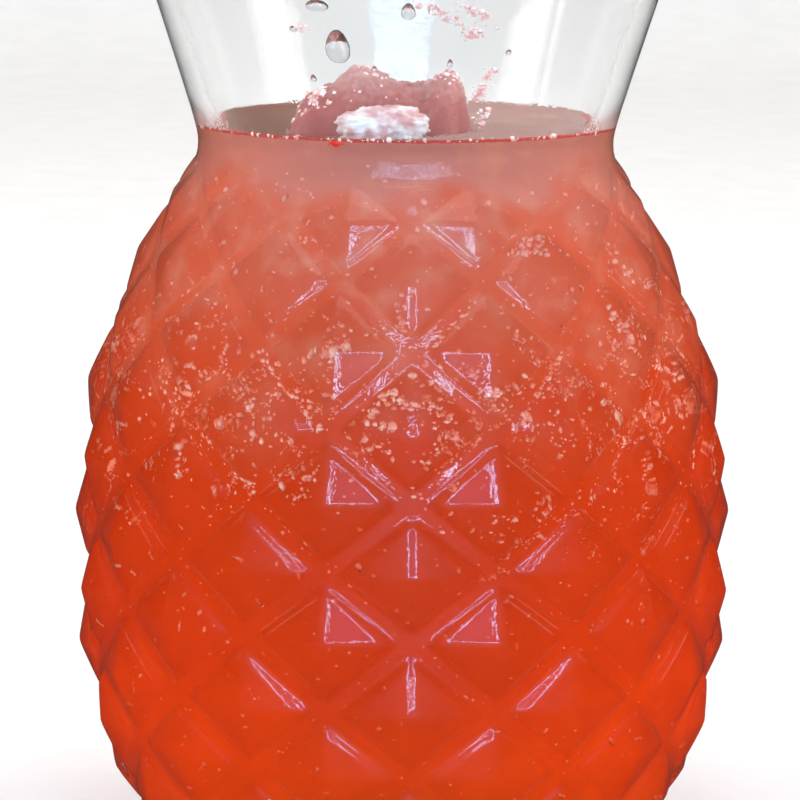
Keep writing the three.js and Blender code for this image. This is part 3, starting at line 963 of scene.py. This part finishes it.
    def build(self) -> list[bpy.types.Object]:
        """Builds one piece for each kind of grain, set in the drink's skin, and dresses them.

        Returns:
            The dressed pieces.
        """
        made = []
        for number, kind in enumerate(Grain):
            rng = np.random.default_rng(self.seed + number)
            turn, height = self.places(rng)
            if kind is Grain.BLUSH:
                turn, height = turn[::2], height[::2]
            sizes = self.fine.draw(rng, len(turn))
            coarse_turn, coarse_height = self.seen_places(rng)
            many = len(coarse_turn)
            turn, height = np.append(turn, coarse_turn), np.append(height, coarse_height)
            sizes = np.append(sizes, self.coarse.draw(rng, many))
            wall = self.tumbler.inner_radius(height) + Lemonade.reach
            out = self.out_share * sizes
            points, faces = lumps(about_axis(wall + out - sizes, turn, height), sizes, rng)
            name, colour, bright = kind.value
            piece = make_mesh(name, points, faces, [SunkenIce(name + "_finish", colour, bright).build()])
            corners = len(points) // len(sizes)
            reach = np.hypot(points[:, 0], points[:, 1]) / MM - np.repeat(wall, corners)
            shown = np.clip(reach / np.repeat(self.fade_share * out, corners), 0, 1)
            gain = self.bright_low + self.bright_gain * smoothstep(*self.bright_z, height)
            bright_share = rng.beta(*self.bright_draw, len(sizes)) * gain
            bright_share[-many:] = rng.uniform(*self.coarse_bright, many)
            look = np.stack([shown, np.repeat(bright_share, corners), 0 * shown], -1)
            store_vectors(piece, "grain_look", look)
            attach(piece, "root")
            made.append(piece)
        return made


@dataclass
class SlushHeap:
    """Slush standing out of the drink towards the front. Sizes in mm."""

    centre: tuple[float, float] = (-3.85, -11.7)
    half: tuple[float, float] = (12.3, 8.4)
    ridge_x: Row = (-16.2, -15.0, -14.0, -11.9, -9.9, -8.3, -7.2, -6.1, -4.8, -3.4, -1.6, 0.2, 1.6, 2.8,
                    3.8, 5.2, 6.3, 6.9, 7.5, 8.0, 8.5)
    ridge_z: Row = (0.3, 1.6, 3.5, 5.1, 6.1, 7.6, 8.4, 8.7, 8.4, 7.7, 6.7, 6.0, 6.0, 6.9, 7.6, 7.9, 7.5,
                    6.4, 4.7, 2.0, 0.3)
    # Power of the oval, and its lobes: depth, number and shift
    squareness: float = 2.5
    lobes: Rows = ((0.035, 5, 0.6), (0.025, 9, 0.0))
    # How the ridge falls off to the front and back
    fall: float = 2.2
    blunt: float = 0.8
    rough: float = 0.5
    rough_length: float = 1.8
    rough_from: float = 2.5
    # Heights of the skirt's two rings, first and last share and number of the other rings, lift of the whole
    skirt: tuple[float, float] = (-0.5, 0.05)
    sides: int = 200
    inner_rings: tuple[float, float, int] = (0.98, 0.02, 70)
    lift: float = 0.1
    # Share of the way out from which the heap sinks to its edge
    sink_from: float = 0.9
    # Patches of bright grains: place across and along, spread across and along, number
    patches: Rows = (
        (5.6, -12.5, 2.2, 3.0, 40), (-12.6, -14.5, 3.0, 3.0, 34), (-5.8, -14.5, 3.0, 3.0, 10),
        (-3.0, -16.5, 9.0, 1.5, 12), (-4.0, -11.0, 16.0, 10.0, 12),
    )
    crystal: Radii = Radii(-1.6, 0.45, 0.08, 0.5)
    crystal_lift: float = 0.05
    crystals_within: float = 0.95
    seed: int = 31

    def edge(self, turn: np.ndarray) -> np.ndarray:
        """How far the heap reaches in each direction: a squarish oval with a few soft lobes.

        Args:
            turn: Directions from the heap's middle, 0 at the front.

        Returns:
            The distance to the edge in each direction.
        """
        u, v = np.abs(np.sin(turn)) / self.half[0], np.abs(np.cos(turn)) / self.half[1]
        oval = (u**self.squareness + v**self.squareness) ** (-1 / self.squareness)
        return oval * sum((depth * np.sin(count * turn + shift) for depth, count, shift in self.lobes), 1)

    def height(self, x: np.ndarray, y: np.ndarray) -> np.ndarray:
        """Height above the drink: the ridge line, rounded off to the front and back, roughened by noise.

        Args:
            x: Places to the right.
            y: Places to the back.

        Returns:
            The height at each place.
        """
        ridge = smooth_curve(self.ridge_x, self.ridge_z, x)
        away = np.clip(np.abs(y - self.centre[1]) / self.half[1], 0, 1)
        lift = ridge * (1 - away**self.fall) ** self.blunt
        rough = self.rough * octaves(x / self.rough_length + 9, y / self.rough_length + 4, 21)
        return lift + rough * smoothstep(0.0, self.rough_from, lift)

    def build(self) -> bpy.types.Object:
        """Builds the heap as a closed shell of rings, its skirt dipping into the drink, and dresses it.

        Returns:
            The dressed piece.
        """
        turn = ring_turns(self.sides)
        share = np.array([1.0, 1.0, *np.linspace(*self.inner_rings)])[:, None]
        reach = share * self.edge(turn)
        x, y = self.centre[0] + reach * np.sin(turn), self.centre[1] - reach * np.cos(turn)
        z = self.height(x, y) * smoothstep(1.0, self.sink_from, share) + self.lift
        z[:2] = np.array(self.skirt)[:, None]
        rings = np.stack([x, y, z + LEVEL], -1).reshape(-1, 3) * MM
        points, faces = closed(rings, grid_faces(len(share), self.sides), self.sides)
        piece = make_mesh("slush_heap", points, faces, [WetSlush().build()])
        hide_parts("slush_mound")
        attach(piece, "root")
        return piece

    def crystals(self) -> bpy.types.Object:
        """Builds bright wet grains lying on the heap: drawn round each patch, thickest on the right peak.

        Returns:
            The dressed piece.
        """
        rng = np.random.default_rng(self.seed)
        x, y = np.hstack([
            np.array([[px], [py]]) + rng.normal(0, 0.5, (2, count)) * np.array([[wide], [deep]])
            for px, py, wide, deep, count in self.patches])
        aside, along = x - self.centre[0], y - self.centre[1]
        inside = np.hypot(aside, along) < self.crystals_within * self.edge(np.arctan2(aside, -along))
        x, y = x[inside], y[inside]
        sizes = self.crystal.draw(rng, len(x))
        centres = np.stack([x, y, LEVEL + self.crystal_lift + self.height(x, y)], -1)
        finish = wet_crumb("clear_pink_grains", "#E8A496", "#FFE4DC", 0.08)
        piece = make_mesh("slush_crystals", *lumps(centres, sizes, rng), [finish.build()], smooth=False)
        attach(piece, "root")
        return piece


def squared(wave: np.ndarray, power: float) -> np.ndarray:
    """The wave's sign times its size to a power: below 1 that flattens it towards a square wave."""
    return np.sign(wave) * np.abs(wave) ** power


@dataclass
class IceLump:
    """Milky lump of ice at the front of the heap. Sizes in mm."""

    centre: tuple[float, float, float] = (-3.5, -18.4, 105.9)
    half: tuple[float, float, float] = (6.0, 3.0, 2.6)
    across: int = 120
    up: int = 60
    # Powers that make the ball blocky, up and round, and the height of its broad and its fine bumps
    blocky: float = 0.65
    blocky_round: float = 0.75
    broad: float = 0.10
    fine: float = 0.05
    # Angle that the first and last ring keep from the poles
    pole: float = 0.03

    def build(self) -> bpy.types.Object:
        """Builds a rounded block: a superellipsoid roughened by noise, and dresses it.

        Returns:
            The dressed piece.
        """
        top = np.pi / 2 - self.pole
        turn, tilt = ring_turns(self.across), np.linspace(-top, top, self.up)[:, None]
        belt = squared(np.cos(tilt), self.blocky)
        x = belt * squared(np.sin(turn), self.blocky_round)
        y = -belt * squared(np.cos(turn), self.blocky_round)
        z = squared(np.sin(tilt), self.blocky) + 0 * x
        rough = 1 + self.broad * octaves(3 * x + 5, 3 * z + 2 + y, 41)
        rough = rough + self.fine * octaves(9 * x, 9 * z + 7 * y, 47)
        block = np.stack([x, y, z], -1) * rough[..., None] * np.array(self.half) + np.array(self.centre)
        faces = grid_faces(self.up, self.across)
        points, faces = closed(block.reshape(-1, 3) * MM, faces, self.across)
        piece = make_mesh("milky_ice_lump", points, faces, [IceFinish().build()])
        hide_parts("ice_lump")
        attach(piece, "root")
        return piece


@dataclass
class CollarSplash:
    """Drops of water and splashed flakes of slush on the inside of the collar. Sizes in mm."""

    tumbler: Tumbler
    # Drops: turn from the front in degrees, height, half width, half height and thickness
    drops: Rows = (
        (-18.2, 117.3, 1.6, 2.2, 0.32), (-22.2, 122.6, 1.5, 0.8, 0.25), (-29.0, 119.4, 0.5, 0.4, 0.12),
        (-25.5, 113.0, 0.4, 0.5, 0.12), (-1.3, 122.0, 0.9, 1.1, 0.3), (9.0, 115.2, 0.35, 0.6, 0.12),
        (23.6, 116.6, 0.4, 0.35, 0.12), (-9.5, 114.5, 0.3, 0.35, 0.1),
    )
    # Shares of a drop's width at its rings, how much fuller it hangs below, how far its back is in the wall
    rings: Row = (1.0, 1.0, *np.linspace(0.94, 0.08, 9))
    sides: int = 28
    fuller: float = 0.22
    back: float = -0.06
    # Patches of splashed flakes: turn, height, spread across, spread up, slant, number
    patches: Rows = (
        (6.5, 121.6, 2.6, 0.9, -0.55, 90), (14.0, 121.9, 2.2, 0.8, -0.4, 70),
        (13.5, 119.3, 1.2, 1.0, 0.2, 60), (17.3, 111.3, 1.2, 1.0, 0.3, 60),
        (19.5, 113.9, 0.7, 0.9, 0.5, 30), (19.0, 108.0, 0.9, 1.0, 0.0, 30),
        (-26.5, 110.2, 0.9, 1.0, -0.3, 34), (-27.0, 119.6, 1.0, 0.3, 0.1, 16),
    )
    flake: Radii = Radii(-1.9, 0.5, 0.06, 0.42)
    # Mean radius of the collar where they lie, and how much of a flake's radius stands out of it
    wall: float = 31.0
    out_share: float = 0.3
    seed: int = 53

    def lens(self, shape: Row) -> Shell:
        """One drop: thickness times the root of 1 - u squared, over an oval that hangs fuller below.

        Args:
            shape: Turn in degrees, height, half width, half height, thickness.

        Returns:
            Points in metres and faces of a closed shell whose back lies just inside the wall.
        """
        middle, level, wide, tall, thick = shape
        u, v = np.meshgrid(self.rings, ring_turns(self.sides), indexing="ij")
        height = level + u * tall * np.cos(v)
        across = u * wide * np.sin(v) * (1 - self.fuller * np.cos(v))
        lift = thick * np.sqrt(np.clip(1 - u**2, 0, 1))
        lift[0] = self.back
        turn = math.radians(middle) + across / self.tumbler.collar_inner(np.array(level))
        rings = about_axis(self.tumbler.collar_inner(height) - lift, turn, height).reshape(-1, 3) * MM
        return closed(rings, grid_faces(len(u), self.sides), self.sides)

    def water(self) -> bpy.types.Object:
        """Joins the drops into one piece and dresses it as clear water, which lamps shine through.

        Returns:
            The dressed piece.
        """
        shells = [self.lens(shape) for shape in self.drops]
        step = len(shells[0][0])
        faces = [block + number * step for number, shell in enumerate(shells) for block in shell[1]]
        n = new_material("clear_water")
        water = n.add("BsdfPrincipled", {"Roughness": 0.0, "IOR": WATER_IOR, "Transmission Weight": 1.0})
        piece = make_mesh("wall_drops", np.vstack([shell[0] for shell in shells]), faces,
                          [n.finish_clear(water, "#FFFFFF")])
        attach(piece, "root")
        return piece

    def flakes(self) -> bpy.types.Object:
        """Builds pale flakes of splashed ice lying on the wall: turn and height drawn round each patch.

        Returns:
            The dressed piece.
        """
        rng = np.random.default_rng(self.seed)
        turn, height = [], []
        for middle, level, wide, tall, slant, count in self.patches:
            across, up = rng.normal(0, 0.5, (2, count))
            turn.append(math.radians(middle) + across * wide / self.wall)
            height.append(level + up * tall + slant * across * wide)
        turn, height = np.concatenate(turn), np.concatenate(height)
        sizes = self.flake.draw(rng, len(turn))
        centres = about_axis(self.tumbler.collar_inner(height) - self.out_share * sizes, turn, height)
        finish = wet_crumb("pale_pink_flakes", "#F2B4A8", "#FFE4DE", scale_mm=0.8)
        piece = make_mesh("splashed_ice_flakes", *lumps(centres, sizes, rng), [finish.build()])
        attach(piece, "root")
        return piece

    def build(self) -> list[bpy.types.Object]:
        """Builds everything that clings to the collar."""
        return [self.water(), self.flakes()]


@dataclass
class LevelEdge:
    """Small bubbles along the front and sides of the level, and a bright red bit of fruit. Sizes in mm."""

    wall: float = 25.75
    beads: int = 90
    # Turns of the bubbles: spread and limit in degrees
    spread: float = 45
    limit: float = 88
    bead: Radii = Radii(-1.9, 0.45, 0.08, 0.4)
    # How far into the wall a bubble's middle may go, and how much of its radius brings it back
    inset: float = 0.2
    inset_share: float = 0.4
    # Mean height over the level, and its spread
    bead_z: tuple[float, float] = (0.3, 0.12)
    bead_seed: int = 67
    # The bit of fruit: turns and radii of its lumps, and its place inside the wall and under the level
    fleck_turns: Row = (-19.2, -20.3, -21.4, -22.5, -23.5)
    fleck_sizes: Row = (0.3, 0.42, 0.48, 0.42, 0.3)
    fleck_inside: float = 0.1
    fleck_under: float = 0.25
    fleck_seed: int = 71

    def ring_of_beads(self) -> bpy.types.Object:
        """Builds the bubbles: turns drawn about the front, each just inside the wall at the climbing edge.

        Returns:
            The dressed piece.
        """
        rng = np.random.default_rng(self.bead_seed)
        turn = np.radians(np.clip(rng.normal(0, self.spread, self.beads), -self.limit, self.limit))
        sizes = self.bead.draw(rng, self.beads)
        above, scatter = self.bead_z
        height = LEVEL + above + rng.normal(0, scatter, self.beads)
        centres = about_axis(self.wall + self.inset - self.inset_share * sizes, turn, height)
        finish = wet_crumb("pale_bubbles", "#E0907E", "#FFE0D4")
        piece = make_mesh("edge_bubbles", *lumps(centres, sizes, rng), [finish.build()])
        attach(piece, "root")
        return piece

    def fleck(self) -> bpy.types.Object:
        """Builds the bit of strawberry: overlapping lumps in a row against the wall.

        Returns:
            The dressed piece.
        """
        turn = np.radians(self.fleck_turns)
        centres = about_axis(self.wall - self.fleck_inside, turn, LEVEL - self.fleck_under)
        finish = wet_crumb("wet_strawberry", "#E8200C", "#F4402A", 0.15)
        shell = lumps(centres, np.array(self.fleck_sizes), np.random.default_rng(self.fleck_seed))
        piece = make_mesh("strawberry_bit", *shell, [finish.build()])
        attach(piece, "root")
        return piece

    def build(self) -> list[bpy.types.Object]:
        """Builds the bubbles and the bit of fruit."""
        return [self.ring_of_beads(), self.fleck()]


# Stage


def towards(azimuth: float, elevation: float) -> Vector:
    """Direction out from the glass, in degrees to the right of the front and above the horizon."""
    a, e = math.radians(azimuth), math.radians(elevation)
    return Vector((math.sin(a) * math.cos(e), -math.cos(a) * math.cos(e), math.sin(e)))


@dataclass
class Studio:
    """Pale floor, plain soft light and the camera. Sizes in metres."""

    distance: float = 0.513
    azimuth: float = -1.6
    elevation: float = 9.93
    roll: float = 0.45
    target: tuple[float, float, float] = (-0.0005, 0.0, 0.066)
    # 800 pixels at 7.24 to the millimetre
    frame_width: float = 800 / 7.24 * MM
    surround: float = 0.68
    mirrored: float = 0.02
    # Floor: half its width, half the depth of its flat part, radius of the curve, end of the wall behind
    half_width: float = 2
    flat: float = 1.2
    bend: float = 0.6
    wall_end: tuple[float, float] = (1.8, 2.2)
    columns: int = 9
    # Turn at which the curve's first ring stands, and grains to the metre in the card
    first_bend: float = 0.15
    card_grain: float = 60.0

    def floor(self) -> None:
        """Lays a wide pale floor that curves up behind: flat, then a quarter of a circle, then a wall."""
        arc = np.linspace(self.first_bend, np.pi / 2, 10)
        flat = np.linspace(-self.flat, self.flat, 13)
        depth = np.concatenate([flat, self.flat + self.bend * np.sin(arc), self.wall_end[:1]])
        lift = np.concatenate([0 * flat, self.bend - self.bend * np.cos(arc), self.wall_end[1:]])
        across = np.linspace(-self.half_width, self.half_width, self.columns)
        y, x = np.meshgrid(depth, across, indexing="ij")
        row, column = np.indices((len(depth) - 1, self.columns - 1))
        a = row * self.columns + column
        faces = [np.stack([a, a + 1, a + self.columns + 1, a + self.columns], -1).reshape(-1, 4)]
        n = new_material("pale_card")
        grain = n.add("TexNoise", {"Vector": n.add("TexCoord").outputs["Object"], "Scale": self.card_grain})
        tone = n.add("ValToRGB", {0: grain}, ((0.3, "#F3F2F0"), (0.7, "#F7F6F4")))
        shade = self.flagged(n, 1.0, self.mirrored)
        card = n.add("Mix", {0: shade, 6: linear("#000000"), 7: tone}, data_type="RGBA").outputs[2]
        finish = n.finish(n.add("BsdfPrincipled", {"Base Color": card, "Roughness": 0.8}))
        floor = make_mesh("floor", np.stack([x, y, lift[:, None] + 0 * x], -1), faces, [finish])

    def lamp(self, name: str, azimuth: float, elevation: float, distance: float,
             size: tuple[float, float], power: float, colour: str, aim: Row = (),
             mirrored: bool = True) -> None:
        """Adds a rectangular soft light that looks at the glass, or at a point of its own.

        Args:
            name: Name of the light.
            azimuth: Degrees to the right of the front.
            elevation: Degrees above the horizon.
            distance: Metres from the glass.
            size: Width and height in metres.
            power: Watts.
            colour: sRGB hex.
            aim: Point that it looks at instead of the glass.
            mirrored: False for a fill light that only brightens and shows in no reflection.
        """
        light = bpy.data.lights.new(name, "AREA")
        light.shape, light.size, light.size_y = "RECTANGLE", size[0], size[1]
        light.energy, light.color = power, linear(colour)[:3]
        holder = bpy.data.objects.new(name, light)
        holder.location = Vector(self.target) + towards(azimuth, elevation) * distance
        look = Vector(aim or self.target) - holder.location
        holder.rotation_euler = look.to_track_quat("-Z", "Y").to_euler()
        holder.visible_glossy, holder.visible_camera = mirrored, False
        bpy.context.scene.collection.objects.link(holder)

    def lights(self) -> None:
        """Adds a cool window with a bright frame in front, soft key and top lights, and a pale surround."""
        pane, frame, warm, white = "#7850FF", "#A0D4FF", "#FFF6EE", "#FFFFFF"
        self.lamp("window_pane", 1.5, 17.0, 1.0, (0.36, 0.40), 0.2, pane)
        self.lamp("window_head", 1.5, 35.0, 1.0, (0.50, 0.04), 0.9, frame)
        self.lamp("window_sill", 1.5, 3.5, 1.0, (0.50, 0.04), 1.0, frame)
        self.lamp("window_left", -11.0, 17.0, 1.0, (0.05, 0.50), 1.6, frame)
        self.lamp("window_right", 14.0, 17.0, 1.0, (0.05, 0.50), 1.6, frame)
        self.lamp("key_soft", 0.0, 56.0, 1.4, (1.0, 0.7), 3.2, warm, mirrored=False)
        self.lamp("left_fill", -80.0, 22.0, 1.1, (0.5, 0.7), 5.3, warm, mirrored=False)
        self.lamp("right_fill", 80.0, 22.0, 1.1, (0.5, 0.7), 6.2, warm, mirrored=False)
        self.lamp("top_soft", 0.0, 86.0, 1.0, (0.8, 0.8), 2.0, white)
        self.lamp("back_wash", 180.0, 62.0, 1.1, (1.6, 0.5), 5.0, white, (0.0, 1.6, 0.25))
        world = bpy.data.worlds.new("surround")
        n = Nodes(world)
        strength = self.flagged(n, self.surround, self.mirrored * self.surround)
        sky = n.add("Background", {"Color": linear("#F2F2F4"), "Strength": strength})
        n.finish(sky, "OutputWorld")
        world.cycles.sampling_method = "NONE"
        bpy.context.scene.world = world

    @staticmethod
    def flagged(n: Nodes, plain: float, mirrored: float) -> bpy.types.Node:
        """Value that is plain for every ray but a mirrored one, as when dark cards stand beside the glass.

        Args:
            n: Nodes that get the value.
            plain: Value for what is seen straight on or lights the object.
            mirrored: Value for what a surface mirrors.

        Returns:
            The node with the value.
        """
        path = n.add("LightPath").outputs
        rays = {0: path["Is Reflection Ray"], 1: path["Is Glossy Ray"]}
        both = n.add("Math", rays, operation="MULTIPLY")
        return n.add("MapRange", {"Value": both, "To Min": plain, "To Max": mirrored})

    def camera(self) -> None:
        """Sets the camera at the photograph's angle, with the lens that frames the same width."""
        data = bpy.data.cameras.new("camera")
        data.lens = data.sensor_width * self.distance / self.frame_width
        data.clip_start, data.clip_end = 0.01, 50
        back = towards(self.azimuth, self.elevation)
        holder = bpy.data.objects.new("camera", data)
        holder.location = Vector(self.target) + back * self.distance
        level = (-back).to_track_quat("-Z", "Y")
        holder.rotation_euler = (level @ Quaternion((0, 0, 1), math.radians(self.roll))).to_euler()
        bpy.context.scene.collection.objects.link(holder)
        bpy.context.scene.camera = holder

    def build(self) -> None:
        """Sets up floor, lights, camera and plain colour handling."""
        self.floor()
        self.lights()
        self.camera()
        bpy.context.scene.view_settings.view_transform = "Standard"


def corners(box: tuple[Vector, Vector]) -> list[list[float]]:
    """Lowest and highest corner as plain lists."""
    return [list(corner) for corner in box]


def main() -> None:
    """Builds every piece in order."""
    logging.basicConfig(level=logging.INFO, format="%(message)s")
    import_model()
    Studio().build()
    tumbler = Tumbler()
    heap = SlushHeap()
    steps: list[tuple[str, Callable[[], Any]]] = [
        ("tumbler", tumbler.build),
        ("drink", Lemonade(tumbler).build),
        ("ice grains", IceGrains(tumbler).build),
        ("slush heap", heap.build),
        ("slush crystals", heap.crystals),
        ("ice lump", IceLump().build),
        ("collar splash", CollarSplash(tumbler).build),
        ("level edge", LevelEdge().build),
    ]
    for name, build in steps:
        build()
        LOG.info("built %s", name)


if __name__ == "__main__":
    main()
